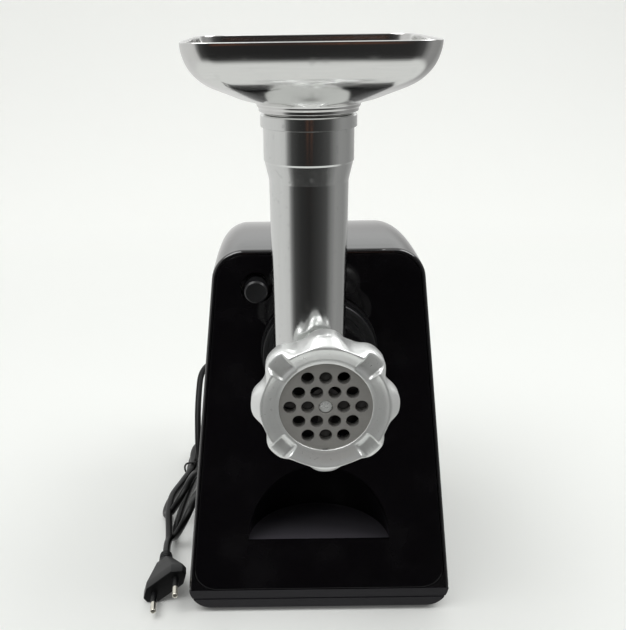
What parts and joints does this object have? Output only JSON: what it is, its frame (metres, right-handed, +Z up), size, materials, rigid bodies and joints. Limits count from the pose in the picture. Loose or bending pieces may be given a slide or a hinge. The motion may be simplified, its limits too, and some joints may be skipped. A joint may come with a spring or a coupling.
{
  "type": "electric meat grinder",
  "caption": "Countertop electric mincer: tapered upright motor housing with a front recess, bayonet grinding head, ring nut with hole plate, vertical feed tube and dish tray.",
  "frame": {"origin": "on the table, under the middle of the machine's bounding box, free cord and plug left out", "axes": "+Z up, -Y is the front that the plate faces, +X is to the viewer's right from the front"},
  "size_m": [0.2125, 0.3648, 0.38],
  "materials": {
    "gloss_black": "high gloss moulded ABS",
    "satin_grey": "satin dark grey moulded plastic",
    "black_plastic": "satin black moulded plastic",
    "cast_aluminium": "tumbled and polished die casting",
    "polished_aluminium": "polished spun and pressed sheet",
    "steel": "ground and lightly satin",
    "bright_steel": "bright turned steel",
    "nylon": "natural moulded nylon",
    "copper": "enamelled copper winding",
    "gear_metal": "sintered steel",
    "carbon": "pressed carbon",
    "board_green": "laminate board with black and white parts",
    "soft_rubber": "soft black rubber",
    "cord_pvc": "flexible black sheath",
    "plug_black": "moulded black plug",
    "pin_nickel": "nickelled brass"
  },
  "bodies": {
    "housing": {"housing_shell": "gloss_black", "front_panel": "gloss_black", "recess_liner": "gloss_black", "recess_floor": "satin_grey", "base_plate": "satin_grey", "rubber_feet": "soft_rubber", "base_screws": "bright_steel", "head_socket": "black_plastic", "button_guide": "black_plastic", "button_spring": "bright_steel", "gearbox_case": "nylon", "gearbox_cover": "nylon", "output_bushing": "gear_metal", "cover_screws": "bright_steel", "gear_pins": "bright_steel", "stator_core": "gear_metal", "field_coils": "copper", "motor_bracket": "bright_steel", "motor_bearings": "bright_steel", "motor_bolts": "bright_steel", "brush_holders": "black_plastic", "carbon_brushes": "carbon", "switch_bezel": "black_plastic", "switch_body": "black_plastic", "control_board": "board_green", "strain_relief": "soft_rubber", "mains_cord": "cord_pvc", "cord_tail": "cord_pvc", "cord_hank": "cord_pvc", "cord_tie": "black_plastic", "plug_body": "plug_black", "plug_pins": "pin_nickel"},
    "auger": {"auger": "cast_aluminium", "knife": "bright_steel", "output_gear": "gear_metal"},
    "gear_2": {"gear_2": "gear_metal"},
    "gear_1": {"gear_1": "nylon"},
    "rotor": {"motor_shaft": "bright_steel", "armature": "gear_metal", "commutator": "copper", "cooling_fan": "black_plastic"},
    "head": {"grinder_head": "cast_aluminium", "flange_ring": "black_plastic", "auger_bush": "nylon"},
    "plate": {"grinding_plate": "steel"},
    "nut": {"ring_nut": "cast_aluminium"},
    "tray": {"tray": "polished_aluminium"},
    "button": {"release_button": "black_plastic"},
    "rocker": {"power_rocker": "black_plastic"}
  },
  "joints": [
    {"name": "auger_spin", "type": "hinge", "parent": "housing", "child": "auger", "pos_m": [0, 0, 0.193], "axis": [0, 1, 0], "continuous": true},
    {"name": "gear_2_spin", "type": "hinge", "parent": "housing", "child": "gear_2", "pos_m": [0, 0, 0.148], "axis": [0, 1, 0], "continuous": true},
    {"name": "gear_1_spin", "type": "hinge", "parent": "housing", "child": "gear_1", "pos_m": [0, 0, 0.1155], "axis": [0, 1, 0], "continuous": true},
    {"name": "motor_spin", "type": "hinge", "parent": "housing", "child": "rotor", "pos_m": [0, 0, 0.0905], "axis": [0, 1, 0], "continuous": true},
    {"name": "head_turn", "type": "hinge", "parent": "housing", "child": "head", "pos_m": [0, 0, 0.193], "axis": [0, 1, 0], "range_deg": [0, 40]},
    {"name": "plate_travel", "type": "slide", "parent": "head", "child": "plate", "axis": [0, -1, 0], "range_m": [0, 0.012]},
    {"name": "ring_nut_turn", "type": "hinge", "parent": "plate", "child": "nut", "pos_m": [0, 0, 0.193], "axis": [0, -1, 0], "range_deg": [0, 1441]},
    {"name": "tray_lift", "type": "slide", "parent": "head", "child": "tray", "axis": [0, 0, 1], "range_m": [0, 0.04]},
    {"name": "button_press", "type": "slide", "parent": "housing", "child": "button", "axis": [0, 1, 0], "range_m": [0, 0.005], "stiffness_N_per_m": 400, "springref_m": -0.003, "deforming": ["button_spring"]},
    {"name": "rocker_tip", "type": "hinge", "parent": "housing", "child": "rocker", "pos_m": [0.0781, 0.0505, 0.09172], "axis": [0, 1, 0], "range_deg": [-10, 10]}
  ],
  "couplings": [
    {"joint": "gear_2_spin", "follows": "auger_spin", "ratio": -4},
    {"joint": "gear_1_spin", "follows": "auger_spin", "ratio": 13.333},
    {"joint": "motor_spin", "follows": "auger_spin", "ratio": -53.333},
    {"joint": "ring_nut_turn", "follows": "plate_travel", "rad_per_m": 2094.4}
  ]
}
